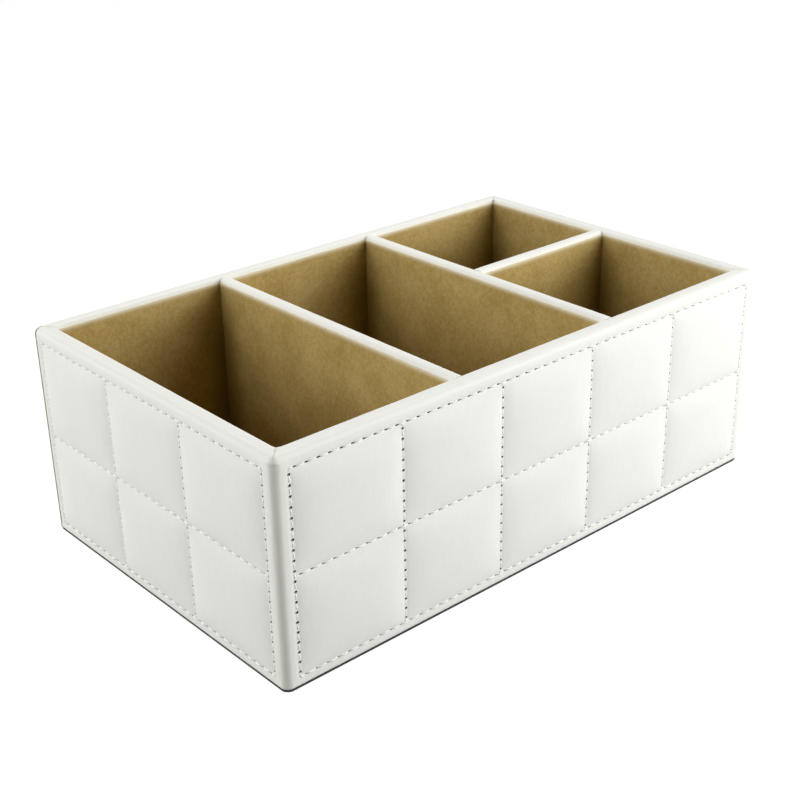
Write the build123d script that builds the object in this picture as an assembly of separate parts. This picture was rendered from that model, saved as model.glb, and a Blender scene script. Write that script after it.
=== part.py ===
"""Quilted leatherette organizer box with four velvet-lined compartments.

The box stands on the table at z = 0, centred on the origin, with its length along X. Its front is at -Y and
its left end at -X. The split bay, with its two nooks, is at the right end. All lengths are in millimetres.
"""

import os
from typing import NamedTuple

from build123d import *

# Overall size, over the plain leather borders
box_length = 260.0
box_width = 160.0
box_height = 92.0

# Bays, measured between their velvet faces
left_bay_length = 78.0
middle_bay_length = 76.2
front_nook_width = 72.7

# Layers of the walls, the base and the dividers
leather_thickness = 0.9
border_foam_thickness = 1.6
wall_board_thickness = 3.5
wall_lining_thickness = 1.6
base_cover_thickness = 1.0
base_board_thickness = 4.0
floor_pad_thickness = 1.6
divider_board_thickness = 3.5
divider_lining_thickness = 1.4
cap_thickness = 0.8

# Folds and edges of the leather, the caps and the base cover
corner_radius = 3.2
rim_radius = 2.3
rim_inner_radius = 0.6
hem_radius = 0.7
turn_in_depth = 12.0
seam_gap = 0.4
cap_depth = 9.0
cap_edge_radius = 1.2
lining_drop = 1.5
base_cover_inset = 0.6
base_cover_radius = 2.6

# Quilting
long_side_columns = 5
short_side_columns = 3
quilt_rows = 2
side_margin = 6.4
rim_margin = 5.3
foot_margin = 3.8
pillow_crown = 1.5
pillow_inset = 0.1
channel_width = 2.2
channel_floor_width = 0.8
channel_depth = 0.5
thread_width = 0.6
thread_height = 0.45
thread_gap = 0.3

# Stations along a pillow, and how much of the crown it has there
pillow_station_shares = (0.0, 0.12, 0.3, 0.5, 0.7, 0.88, 1.0)
pillow_crown_shares = (0.08, 0.55, 0.9, 1.0, 0.9, 0.55, 0.08)

# Fits, and how far a cutting shape runs past what it cuts
insert_clearance = 0.15
overrun = 2.0


def shrink(outline, by):
    """Moves every side of an outline, given as length and width, inwards."""
    length, width = outline
    return (length - 2 * by, width - 2 * by)


# Outlines of the layers, from the outside in
leather_outline = (box_length, box_width)
foam_outline = shrink(leather_outline, leather_thickness)
board_outline = shrink(foam_outline, border_foam_thickness)
carcass_inside = shrink(board_outline, wall_board_thickness)
turn_in_inside = shrink(carcass_inside, leather_thickness)
lining_inside = shrink(carcass_inside, wall_lining_thickness)
border_depth = leather_thickness + border_foam_thickness

# Heights above the table
hem_level = base_cover_thickness
wall_foot = hem_level + leather_thickness
floor_level = hem_level + base_board_thickness
board_top = box_height - leather_thickness
lining_top = box_height - lining_drop
turn_in_foot = box_height - turn_in_depth

# Places of the dividers, from the left and the front of the lined inside
divider_thickness = divider_board_thickness + 2 * divider_lining_thickness
left_divider_x = -lining_inside[0] / 2 + left_bay_length + divider_thickness / 2
right_divider_x = left_divider_x + divider_thickness + middle_bay_length
bay_divider_y = -lining_inside[1] / 2 + front_nook_width + divider_thickness / 2
split_bay_start = right_divider_x + divider_thickness / 2
split_bay_length = lining_inside[0] / 2 - split_bay_start
split_bay_x = split_bay_start + split_bay_length / 2


def block(outline, foot, top, centre=(0.0, 0.0)):
    """An upright block with a plain outline, between two heights."""
    solid = Box(*outline, top - foot, align=(Align.CENTER, Align.CENTER, Align.MIN))
    return Pos(*centre, foot) * solid


def rounded_block(outline, radius, foot, top):
    """An upright block with rounded corners, between two heights."""
    return Pos(0.0, 0.0, foot) * extrude(RectangleRounded(*outline, radius), amount=top - foot)


def spaced(first, last, count):
    """The places of evenly spaced seams that leave this many cells between them."""
    return [first + (last - first) * i / count for i in range(count + 1)]


class Side(NamedTuple):
    """One outer wall, with its own frame: u runs to the right seen from outside, v up and w outwards."""

    name: str
    columns: int
    span: float
    reach: float
    right: tuple
    outward: tuple

    def place(self, solid, depth=0.0):
        """Moves a solid from the wall's own frame to the box, that deep under the border's face."""
        origin = Vector(*self.outward) * (self.reach - depth)
        return Plane(origin=origin, x_dir=self.right, z_dir=self.outward).location * solid

    def seams(self):
        """The places of the upright seams and of the level seams."""
        edge = self.span / 2 - side_margin
        upright = spaced(-edge, edge, self.columns)
        level = spaced(hem_level + foot_margin, box_height - rim_margin, quilt_rows)
        return upright, level


sides = (
    Side("front", long_side_columns, box_length, box_width / 2, (1, 0, 0), (0, -1, 0)),
    Side("back", long_side_columns, box_length, box_width / 2, (-1, 0, 0), (0, 1, 0)),
    Side("left_end", short_side_columns, box_width, box_length / 2, (0, -1, 0), (-1, 0, 0)),
    Side("right_end", short_side_columns, box_width, box_length / 2, (0, 1, 0), (1, 0, 0)),
)


def pillow(left, right, low, high):
    """A crowned quilt cell on w = 0, lofted through upright arcs that swell towards its middle."""
    sections = []
    for station_share, crown_share in zip(pillow_station_shares, pillow_crown_shares):
        u = left + (right - left) * station_share
        foot, top = (u, low, 0.0), (u, high, 0.0)
        middle = (u, (low + high) / 2, pillow_crown * crown_share)
        sections.append(make_face(Line(top, foot) + ThreePointArc(foot, middle, top)))
    return loft(sections)


def pillows(side):
    """All the quilt cells of a wall, each a little inside the channels round it."""
    upright, level = side.seams()
    edge = channel_width / 2 + pillow_inset
    return [
        pillow(left + edge, right - edge, low + edge, high - edge)
        for left, right in zip(upright, upright[1:])
        for low, high in zip(level, level[1:])
    ]


def channel(start, end):
    """A cutter for the channel that one straight seam draws into the wall, with sloping sides."""
    start, end = Vector(*start), Vector(*end)
    along = (end - start).normalized()
    start, end = start - along * channel_width / 2, end + along * channel_width / 2
    mouth, floor = channel_width / 2, channel_floor_width / 2
    section = Polygon(
        (-floor, -channel_depth),
        (floor, -channel_depth),
        (mouth, 0.0),
        (mouth, overrun),
        (-mouth, overrun),
        (-mouth, 0.0),
        align=None,
    )
    across = Vector(0, 0, 1).cross(along)
    frame = Plane(origin=start, x_dir=across, z_dir=along)
    return extrude(frame * section, amount=(end - start).length)


def channels(side):
    """The cutters for all the seams of a wall."""
    upright, level = side.seams()
    rows = [channel((upright[0], v, 0.0), (upright[-1], v, 0.0)) for v in level]
    columns = [channel((u, level[0], 0.0), (u, level[-1], 0.0)) for u in upright]
    return rows + columns


def strand(start, end):
    """A length of thread lying on the floor of a channel."""
    start, end = Vector(*start), Vector(*end)
    run = end - start
    size = (max(run.X, thread_width), max(run.Y, thread_width), thread_height)
    middle = (start + end) / 2
    solid = Box(*size, align=(Align.CENTER, Align.CENTER, Align.MIN))
    return Pos(middle.X, middle.Y, -channel_depth) * solid


def thread(side):
    """The quilting thread of a wall: whole level strands, and upright strands that stop short of them."""
    upright, level = side.seams()
    stop = thread_width / 2 + thread_gap
    rows = [strand((upright[0] - stop, v, 0.0), (upright[-1] + stop, v, 0.0)) for v in level]
    columns = [
        strand((u, low + stop, 0.0), (u, high - stop, 0.0))
        for u in upright
        for low, high in zip(level, level[1:])
    ]
    return Compound([side.place(solid) for piece in rows + columns for solid in piece.solids()])


def outer_wedge(side):
    """The room in front of one wall's board, mitred at the corners of the box."""
    half = side.span / 2 - border_depth
    flare = border_depth + overrun
    corners = [
        (-half, 0.0, -border_depth),
        (half, 0.0, -border_depth),
        (half + flare, 0.0, overrun),
        (-half - flare, 0.0, overrun),
    ]
    face = make_face(Polyline(*corners, close=True))
    return side.place(extrude(face, amount=box_height, dir=(0, 1, 0)))


def wall_foam(side):
    """The foam on one wall: thin under the seams, swelling into pillows between them."""
    jacket = rounded_block(foam_outline, corner_radius - leather_thickness, wall_foot, board_top)
    rim = jacket.faces().sort_by(Axis.Z)[-1].edges()
    jacket = fillet(rim, rim_radius - leather_thickness)
    jacket -= block(board_outline, wall_foot - overrun, board_top + overrun)
    pad = jacket & outer_wedge(side)
    pad -= [side.place(cut, leather_thickness) for cut in channels(side)]
    pad += [side.place(cell, leather_thickness) for cell in pillows(side)]
    return pad


def wall_boards():
    """The four wall boards: the ends stand between the long ones."""
    length, width = board_outline
    inside_width = carcass_inside[1]
    long_y = (width - wall_board_thickness) / 2
    end_x = (length - wall_board_thickness) / 2
    long_board = (length, wall_board_thickness)
    end_board = (wall_board_thickness, inside_width)
    return {
        "front_board": block(long_board, wall_foot, board_top, (0.0, -long_y)),
        "back_board": block(long_board, wall_foot, board_top, (0.0, long_y)),
        "left_end_board": block(end_board, wall_foot, board_top, (-end_x, 0.0)),
        "right_end_board": block(end_board, wall_foot, board_top, (end_x, 0.0)),
    }


def back_left_seam():
    """The slot where the two ends of the leather meet, on the diagonal of the back left corner."""
    length, width = turn_in_inside
    inner_corner = Vector(-length / 2, width / 2, 0.0)
    outer_corner = Vector(-box_length / 2, box_width / 2, 0.0)
    run = outer_corner - inner_corner
    frame = Plane(origin=inner_corner - run, x_dir=run, z_dir=(0, 0, 1))
    slot = Box(3 * run.length, seam_gap, box_height, align=(Align.MIN, Align.CENTER, Align.MIN))
    return frame.location * slot


def leather_wrap(foams, boards):
    """The quilted leather round the walls, turned in over the rim and under the foot of the boards."""
    skin = rounded_block(leather_outline, corner_radius, hem_level, box_height)
    skin -= block(turn_in_inside, hem_level - overrun, box_height + overrun)
    top = skin.faces().sort_by(Axis.Z)[-1]
    skin = fillet(top.outer_wire().edges(), rim_radius)
    top = skin.faces().sort_by(Axis.Z)[-1]
    skin = fillet(top.inner_wires()[0].edges(), rim_inner_radius)
    hem = skin.faces().sort_by(Axis.Z)[0]
    skin = fillet(hem.outer_wire().edges(), hem_radius)
    for side in sides:
        skin -= [side.place(cut) for cut in channels(side)]
        skin += [side.place(cell) for cell in pillows(side)]
    skin -= foams
    skin -= boards
    skin -= block(carcass_inside, hem_level - overrun, turn_in_foot)
    skin -= back_left_seam()
    return skin


def wall_linings():
    """Velvet on card for each wall, thinned behind its top where it laps the turned-in leather."""
    turn_in = block(carcass_inside, turn_in_foot, box_height)
    turn_in -= block(turn_in_inside, turn_in_foot - overrun, box_height + overrun)
    length, width = carcass_inside
    long_y = (width - wall_lining_thickness) / 2
    end_x = (length - wall_lining_thickness) / 2
    long_sheet = (length, wall_lining_thickness)
    end_sheet = (wall_lining_thickness, lining_inside[1])
    sheets = {
        "front_lining": block(long_sheet, floor_level, lining_top, (0.0, -long_y)),
        "back_lining": block(long_sheet, floor_level, lining_top, (0.0, long_y)),
        "left_end_lining": block(end_sheet, floor_level, lining_top, (-end_x, 0.0)),
        "right_end_lining": block(end_sheet, floor_level, lining_top, (end_x, 0.0)),
    }
    return {name: sheet - turn_in for name, sheet in sheets.items()}


def divider(length):
    """One divider along X: its board, the leather cap over its top and the velvet on its two faces."""
    run = length - 2 * insert_clearance
    board = block((run, divider_board_thickness), floor_level, box_height - cap_thickness)
    cap_width = divider_board_thickness + 2 * cap_thickness
    cap_room = block((run, cap_width), box_height - cap_depth, box_height)
    ridge = cap_room.faces().sort_by(Axis.Z)[-1].edges().filter_by(Axis.X)
    cap = fillet(ridge, cap_edge_radius) - board
    sheet = (run, divider_lining_thickness)
    offset = (divider_board_thickness + divider_lining_thickness) / 2
    faces = [block(sheet, floor_level, lining_top, (0.0, y)) - cap_room for y in (-offset, offset)]
    lining = Compound([solid for face in faces for solid in face.solids()])
    return {"board": board, "cap": cap, "lining": lining}


def dividers():
    """The two cross dividers and the short one that halves the split bay."""
    across = Rot(0, 0, 90)
    places = {
        "left_divider": (lining_inside[1], Pos(left_divider_x, 0.0, 0.0) * across),
        "right_divider": (lining_inside[1], Pos(right_divider_x, 0.0, 0.0) * across),
        "bay_divider": (split_bay_length, Pos(split_bay_x, bay_divider_y, 0.0)),
    }
    return {
        f"{name}_{piece}": place * solid
        for name, (length, place) in places.items()
        for piece, solid in divider(length).items()
    }


def floor_pads():
    """The velvet pad on the floor of each compartment."""
    inside_length, inside_width = lining_inside
    left_bay_x = (left_bay_length - inside_length) / 2
    middle_bay_x = (left_divider_x + right_divider_x) / 2
    back_nook_width = inside_width - front_nook_width - divider_thickness
    front_nook_y = (front_nook_width - inside_width) / 2
    back_nook_y = (inside_width - back_nook_width) / 2
    bays = {
        "left_bay_floor": (left_bay_length, inside_width, left_bay_x, 0.0),
        "middle_bay_floor": (middle_bay_length, inside_width, middle_bay_x, 0.0),
        "front_nook_floor": (split_bay_length, front_nook_width, split_bay_x, front_nook_y),
        "back_nook_floor": (split_bay_length, back_nook_width, split_bay_x, back_nook_y),
    }
    pad_top = floor_level + floor_pad_thickness
    return {
        name: block(shrink((length, width), insert_clearance), floor_level, pad_top, (x, y))
        for name, (length, width, x, y) in bays.items()
    }


def build():
    """All the pieces of the box, by name."""
    boards = wall_boards()
    foams = {side.name: wall_foam(side) for side in sides}
    pieces = {
        "base_cover": rounded_block(
            shrink(leather_outline, base_cover_inset), base_cover_radius, 0.0, base_cover_thickness
        ),
        "base_board": block(carcass_inside, hem_level, floor_level),
        "leather_wrap": leather_wrap(list(foams.values()), list(boards.values())),
    }
    pieces |= boards
    pieces |= {f"{name}_foam": foam for name, foam in foams.items()}
    pieces |= {f"{side.name}_thread": thread(side) for side in sides}
    pieces |= wall_linings()
    pieces |= dividers()
    pieces |= floor_pads()
    return pieces


os.makedirs("parts", exist_ok=True)
for node, shape in build().items():
    export_step(shape, f"parts/{node}.step")
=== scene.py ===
"""Dresses the quilted organizer box: leatherette, stitching, foam, velvet, caps, base sheet and studio.

Lengths are in metres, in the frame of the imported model: +X along the box, +Y to the back, +Z up.
"""

import logging
import math
from collections.abc import Iterable
from dataclasses import dataclass
from enum import Enum, IntEnum
from functools import reduce
from typing import Any

import bmesh
import bpy
import numpy as np
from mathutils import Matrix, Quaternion, Vector, noise


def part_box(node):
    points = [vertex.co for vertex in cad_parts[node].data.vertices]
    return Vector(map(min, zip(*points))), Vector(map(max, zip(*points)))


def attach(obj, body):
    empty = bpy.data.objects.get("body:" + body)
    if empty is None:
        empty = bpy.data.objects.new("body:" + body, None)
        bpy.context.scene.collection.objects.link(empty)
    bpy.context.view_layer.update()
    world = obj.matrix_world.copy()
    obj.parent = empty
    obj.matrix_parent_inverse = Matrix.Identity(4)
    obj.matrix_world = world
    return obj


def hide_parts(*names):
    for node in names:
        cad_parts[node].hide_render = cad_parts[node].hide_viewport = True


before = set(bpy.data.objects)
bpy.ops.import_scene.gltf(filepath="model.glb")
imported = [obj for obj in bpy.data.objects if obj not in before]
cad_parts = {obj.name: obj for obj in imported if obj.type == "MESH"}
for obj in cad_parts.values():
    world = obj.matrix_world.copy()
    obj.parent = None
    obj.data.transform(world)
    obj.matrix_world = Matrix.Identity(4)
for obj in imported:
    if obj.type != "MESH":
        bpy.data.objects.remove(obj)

Array = np.ndarray
Colour = tuple[float, float, float]
Triple = tuple[float, float, float]
Range = tuple[float, float]
Socket = bpy.types.NodeSocket

LOG = logging.getLogger("organizer_box")
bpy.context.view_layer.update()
ROOT_BODY = "root"
UP = np.array((0.0, 0.0, 1.0))
WHITE = (1.0, 1.0, 1.0, 1.0)
UNIT: Range = (0.0, 1.0)
NOISE_RANGE: Range = (0.3, 0.7)
QUARTER_TURN = math.pi / 2
SHARP_ANGLE = math.radians(50.0)
MERGE_DISTANCE = 1e-6


class Slot(Enum):
    """Material slots of the part."""

    LEATHER = "white_leather"
    VELVET = "tan_velvet"
    THREAD = "white_thread"
    FOAM = "quilting_foam"
    BOARD = "fibreboard"
    SHEET = "charcoal_sheet"


class Look(IntEnum):
    """Materials of the leatherette strip, in the order in which its mesh counts them."""

    SKIN = 0
    # Walls and bottoms of the needle holes, in painted shade
    HOLE_SHADE = 1
    CUT = 2


class Easing(Enum):
    """How a value goes from one end of a range to the other."""

    EVEN = "LINEAR"
    SOFT = "SMOOTHSTEP"


class Mixed(Enum):
    """What a mix node mixes: its type, and the numbers of its two inputs and its output."""

    VALUES = ("FLOAT", 2, 3, 0)
    COLOURS = ("RGBA", 6, 7, 2)


class Wall(Enum):
    """The four walls, in the order in which the leatherette runs round them."""

    LEFT_END = ("left_end", -1, 0)
    FRONT = ("front", 0, -1)
    RIGHT_END = ("right_end", 1, 0)
    BACK = ("back", 0, 1)

    def __init__(self, title: str, east: int, north: int) -> None:
        """Sets the wall's name and its directions, seen from above.

        Args:
            title: Name that the wall's pieces start with.
            east: Share of +X in the direction that the wall faces.
            north: Share of +Y in the direction that the wall faces.
        """
        self.title = title
        self.outward = np.array((east, north, 0.0))
        self.travel = np.array((-north, east, 0.0))

    @property
    def following(self) -> "Wall":
        """Wall after this one along the leatherette."""
        order = list(Wall)
        return order[(order.index(self) + 1) % len(order)]

    @property
    def is_long(self) -> bool:
        """Whether this is the front or the back."""
        return self in (Wall.FRONT, Wall.BACK)


def smooth_step(values: Array) -> Array:
    """Eases values from 0 to 1, and holds them there outside that range."""
    held = np.clip(values, 0.0, 1.0)
    return held * held * (3.0 - 2.0 * held)


def dent(distance: Array, width: float) -> Array:
    """Gives a soft dent's share of its depth at a distance from its middle line."""
    return np.exp(-((distance / width) ** 2))


def stations(low: float, high: float, spacing: float) -> Array:
    """Divides a length evenly, with a spacing close to the one asked for."""
    return np.linspace(low, high, max(2, round((high - low) / spacing) + 1))


def arc(across: float, up: float, radius: float, angles: Array) -> list[tuple[float, float]]:
    """Gives the points of an arc in a plane.

    Args:
        across: Where its centre lies across the plane.
        up: Where its centre lies up the plane.
        radius: Its radius.
        angles: Angle of each point, from across towards up.

    Returns:
        Where each point lies across and up the plane.
    """
    return [(across + radius * math.cos(angle), up + radius * math.sin(angle)) for angle in angles]


def extent(direction: Array, corners: Iterable[Vector]) -> tuple[float, float]:
    """Gives where a box starts and ends along a direction."""
    low, high = sorted(float(direction @ np.array(corner)) for corner in corners)
    return low, high


@dataclass(frozen=True)
class Unevenness:
    """Soft lumps that keep a surface from lying dead flat."""

    height: float
    size: float
    seed: float

    def at(self, points: Array) -> Array:
        """Gives the heights of the lumps at points.

        Args:
            points: Array whose last axis is x, y, z.

        Returns:
            One height for each point.
        """
        flat = points.reshape(-1, 3) / self.size + self.seed
        values = [noise.noise(Vector(point)) for point in flat]
        return self.height * np.array(values).reshape(points.shape[:-1])


class MeshDraft:
    """Points and faces of one piece while it is being built."""

    def __init__(self) -> None:
        """Starts without points and faces."""
        self.points: list[Array] = []
        self.count = 0
        self.faces: list[tuple[int, ...]] = []
        self.looks: list[int] = []

    def add(self, points: Array) -> Array:
        """Adds points.

        Args:
            points: Array whose last axis is x, y, z.

        Returns:
            Numbers of the points, in the array's shape.
        """
        flat = points.reshape(-1, 3)
        numbers = np.arange(self.count, self.count + len(flat))
        self.points.append(flat)
        self.count += len(flat)
        return numbers.reshape(points.shape[:-1])

    def face(self, loop: Iterable[int], look: int = 0) -> None:
        """Adds one face.

        Args:
            loop: Numbers of its points, in order.
            look: Which of the piece's materials it has.
        """
        self.faces.append(tuple(int(number) for number in loop))
        self.looks.append(look)

    def grid(self, numbers: Array, look: int = 0, skip: Array | None = None) -> None:
        """Covers a grid of points with quads.

        Args:
            numbers: Numbers of the points, by row and column.
            look: Which of the piece's materials the quads have.
            skip: True for each quad that is left out.
        """
        corners = (numbers[:-1, :-1], numbers[:-1, 1:], numbers[1:, 1:], numbers[1:, :-1])
        quads = np.stack(corners, axis=-1)
        kept = quads.reshape(-1, 4) if skip is None else quads[~skip]
        self.faces.extend(tuple(quad) for quad in kept.tolist())
        self.looks.extend([look] * len(kept))

    def loft(self, rings: Array) -> None:
        """Adds a closed skin through rings of points, with a face over each end.

        Args:
            rings: Points by ring, place on the ring, and x, y, z.
        """
        numbers = self.add(rings)
        self.grid(np.concatenate((numbers, numbers[:, :1]), axis=1))
        self.face(numbers[0])
        self.face(numbers[-1])

    def slab(self, front: Array, back: Array) -> None:
        """Adds a closed slab between two grids of the same size.

        Args:
            front: Points of one face, by row and column.
            back: Points of the other face, in the same order.
        """
        sides = []
        for points in (front, back):
            numbers = self.add(points)
            self.grid(numbers)
            edges = (numbers[0, :-1], numbers[:-1, -1], numbers[-1, :0:-1], numbers[:0:-1, 0], numbers[0, :1])
            sides.append(np.concatenate(edges))
        self.grid(np.stack(sides))

    def piece(
        self, name: str, materials: list[bpy.types.Material], traits: dict[str, Array] | None = None
    ) -> bpy.types.Object:
        """Makes an object of the draft.

        Args:
            name: Name of the object and its mesh.
            materials: Its materials, in the order that the looks count them.
            traits: Named values, one for each point, that its materials read.

        Returns:
            The object, linked to the scene.
        """
        mesh = bpy.data.meshes.new(name)
        mesh.from_pydata(np.concatenate(self.points).tolist(), [], self.faces)
        for material in materials:
            mesh.materials.append(material)
        mesh.polygons.foreach_set("material_index", self.looks)
        mesh.polygons.foreach_set("use_smooth", [True] * len(mesh.polygons))
        for title, values in (traits or {}).items():
            layer = mesh.attributes.new(title, "FLOAT", "POINT")
            layer.data.foreach_set("value", values.astype(np.float32))
        work = bmesh.new()
        work.from_mesh(mesh)
        bmesh.ops.remove_doubles(work, verts=work.verts, dist=MERGE_DISTANCE)
        bmesh.ops.recalc_face_normals(work, faces=work.faces)
        for edge in work.edges:
            edge.smooth = edge.calc_face_angle(math.pi) < SHARP_ANGLE
        work.to_mesh(mesh)
        work.free()
        made = bpy.data.objects.new(name, mesh)
        bpy.context.scene.collection.objects.link(made)
        return made


def settle(piece: bpy.types.Object, slot: Slot, *nodes: str) -> None:
    """Puts a finished piece in the part, in the place of its CAD nodes.

    Args:
        piece: The piece, where it belongs.
        slot: Material slot of the part that its finish comes from; not used.
        nodes: Names of the CAD nodes that it stands for.
    """
    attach(piece, ROOT_BODY)
    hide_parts(*nodes)
    LOG.info("%s: %d faces", piece.name, len(piece.data.polygons))


class NodeGraph:
    """Nodes of one material or of the world while they are being joined."""

    def __init__(self, owner: bpy.types.Material | bpy.types.World) -> None:
        """Starts with the nodes that a new material or world has.

        Args:
            owner: Material or world that the nodes belong to.
        """
        owner.use_nodes = True
        self.tree = owner.node_tree

    def node(self, kind: str, **settings: Any) -> bpy.types.Node:
        """Adds a node and sets its properties.

        Args:
            kind: Type of the node.
            settings: Properties by name.

        Returns:
            The node.
        """
        made = self.tree.nodes.new(kind)
        for title, value in settings.items():
            setattr(made, title, value)
        return made

    def feed(self, socket: Socket, value: Any) -> None:
        """Gives a socket another node's output, or a plain value.

        Args:
            socket: The socket.
            value: Output of the other node, or the plain value.
        """
        if isinstance(value, Socket):
            self.tree.links.new(value, socket)
        else:
            socket.default_value = value

    def span(self, value: Socket, source: Range, target: Range, easing: Easing = Easing.EVEN) -> Socket:
        """Maps a value from one range to another and holds it inside.

        Args:
            value: Socket with the value.
            source: Range that it is read in.
            target: Range that it is put in.
            easing: How it goes from one end to the other.

        Returns:
            Socket with the new value.
        """
        made = self.node("ShaderNodeMapRange", interpolation_type=easing.value)
        self.feed(made.inputs["Value"], value)
        for title, number in zip(("From Min", "From Max", "To Min", "To Max"), source + target):
            self.feed(made.inputs[title], number)
        return made.outputs["Result"]

    def blend(self, share: Any, first: Any, second: Any, mixed: Mixed = Mixed.COLOURS) -> Socket:
        """Mixes two colours or two values.

        Args:
            share: How much of the second one there is.
            first: Colour, value or socket.
            second: Colour, value or socket.
            mixed: Which of these is mixed.

        Returns:
            Socket with the mixture.
        """
        kind, first_input, second_input, output = mixed.value
        made = self.node("ShaderNodeMix", data_type=kind)
        self.feed(made.inputs[0], share)
        for number, value in ((first_input, first), (second_input, second)):
            self.feed(made.inputs[number], (*value, 1.0) if isinstance(value, tuple) else value)
        return made.outputs[output]

    def sum(self, first: Any, second: Any) -> Socket:
        """Adds two values.

        Args:
            first: Value or socket.
            second: Value or socket.

        Returns:
            Socket with the sum.
        """
        made = self.node("ShaderNodeMath", operation="ADD")
        self.feed(made.inputs[0], first)
        self.feed(made.inputs[1], second)
        return made.outputs["Value"]


class ShaderGraph(NodeGraph):
    """Nodes of one material with one surface shader."""

    def __init__(self, name: str) -> None:
        """Starts the material.

        Args:
            name: Name of the material.
        """
        self.material = bpy.data.materials.new(name)
        super().__init__(self.material)
        self.surface = self.tree.nodes["Principled BSDF"]
        self.place = self.node("ShaderNodeTexCoord").outputs["Object"]

    def set(self, title: str, value: Any) -> None:
        """Feeds one of the surface shader's inputs."""
        self.feed(self.surface.inputs[title], value)

    def scaled(self, sizes: Triple) -> Socket:
        """Gives the place on the object, counted in lengths along each axis.

        Args:
            sizes: The length for each axis.

        Returns:
            Socket with the counted place.
        """
        mapping = self.node("ShaderNodeMapping")
        self.feed(mapping.inputs["Vector"], self.place)
        self.feed(mapping.inputs["Scale"], tuple(1.0 / size for size in sizes))
        return mapping.outputs["Vector"]

    def noise(self, sizes: Triple, detail: float = 3.0) -> Socket:
        """Gives cloudy noise.

        Args:
            sizes: Size of its lumps along each axis.
            detail: How many finer layers it has.

        Returns:
            Socket with a value about 0.5.
        """
        texture = self.node("ShaderNodeTexNoise")
        self.feed(texture.inputs["Vector"], self.scaled(sizes))
        self.feed(texture.inputs["Scale"], 1.0)
        self.feed(texture.inputs["Detail"], detail)
        return texture.outputs["Fac"]

    def pebbles(self, size: float) -> Socket:
        """Gives the grain of rounded cells.

        Args:
            size: Size of a cell.

        Returns:
            Socket with 0 in the creases between the cells and more inside them.
        """
        texture = self.node("ShaderNodeTexVoronoi", feature="DISTANCE_TO_EDGE")
        self.feed(texture.inputs["Vector"], self.scaled((size, size, size)))
        self.feed(texture.inputs["Scale"], 1.0)
        return texture.outputs["Distance"]

    def trait(self, title: str, share: float) -> Socket:
        """Gives a share of a named value of the piece's points."""
        value = self.node("ShaderNodeAttribute", attribute_name=title).outputs["Fac"]
        return self.span(value, UNIT, (0.0, share))

    def relief(self, height: Any, depth: float, strength: float) -> None:
        """Gives the surface a fine relief.

        Args:
            height: Socket with the height, from 0 to 1.
            depth: How deep the relief is.
            strength: How much of it shows.
        """
        bump = self.node("ShaderNodeBump")
        self.feed(bump.inputs["Height"], height)
        self.feed(bump.inputs["Distance"], depth)
        self.feed(bump.inputs["Strength"], strength)
        self.set("Normal", bump.outputs["Normal"])


@dataclass(frozen=True)
class LeatherFinish:
    """White coated leatherette with a fine grain: painted shade in seams and corners, paler for wear and
    painted highlight.
    """

    name: str = "white_leatherette"
    light: Colour = (0.86, 0.862, 0.81)
    shade: Colour = (0.82, 0.825, 0.77)
    # Painted shade in the seam troughs
    seam: Colour = (0.66, 0.66, 0.60)
    # Paler tone for wear and painted highlight, full on the rim's inner side
    rubbed_and_lit: Colour = (0.94, 0.935, 0.87)
    # Painted shade in the corner mitres and round the corners
    corner_shade: Colour = (0.40, 0.385, 0.22)
    seam_share: float = 0.25
    rubbed_and_lit_share: float = 0.75
    corner_shade_share: float = 0.5
    roughness: Range = (0.52, 0.62)
    specular: float = 0.4
    cloud_size: float = 0.03
    streak_sizes: Triple = (0.0011, 0.0011, 0.006)
    mottle_range: Range = (0.7, 1.3)
    grain_size: float = 0.0009
    grain_range: Range = (0.0, 0.18)
    grain_share: float = 0.6
    fine_grain_size: float = 0.0003
    fine_grain_share: float = 0.4
    grain_depth: float = 0.00006
    grain_strength: float = 0.35

    def material(self) -> bpy.types.Material:
        """Builds the material.

        Returns:
            The material.
        """
        graph = ShaderGraph(self.name)
        cloud = graph.noise((self.cloud_size,) * 3)
        streak = graph.noise(self.streak_sizes)
        mottle = graph.span(graph.sum(cloud, streak), self.mottle_range, UNIT)
        colour = graph.blend(mottle, self.shade, self.light)
        # Painted shade in the seam troughs
        colour = graph.blend(graph.trait("seam", self.seam_share), colour, self.seam)
        # Paler tone for wear and painted highlight
        colour = graph.blend(graph.trait("rub_and_highlight", self.rubbed_and_lit_share), colour, self.rubbed_and_lit)
        # Painted shade in the corner mitres and round the corners
        colour = graph.blend(graph.trait("corner_shade", self.corner_shade_share), colour, self.corner_shade)
        graph.set("Base Color", colour)
        graph.set("Roughness", graph.span(cloud, NOISE_RANGE, self.roughness))
        graph.set("Specular IOR Level", self.specular)
        grain = graph.span(graph.pebbles(self.grain_size), self.grain_range, (0.0, self.grain_share))
        speckle = graph.noise((self.fine_grain_size,) * 3)
        fine = graph.span(speckle, NOISE_RANGE, (0.0, self.fine_grain_share))
        graph.relief(graph.sum(grain, fine), self.grain_depth, self.grain_strength)
        return graph.material


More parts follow.
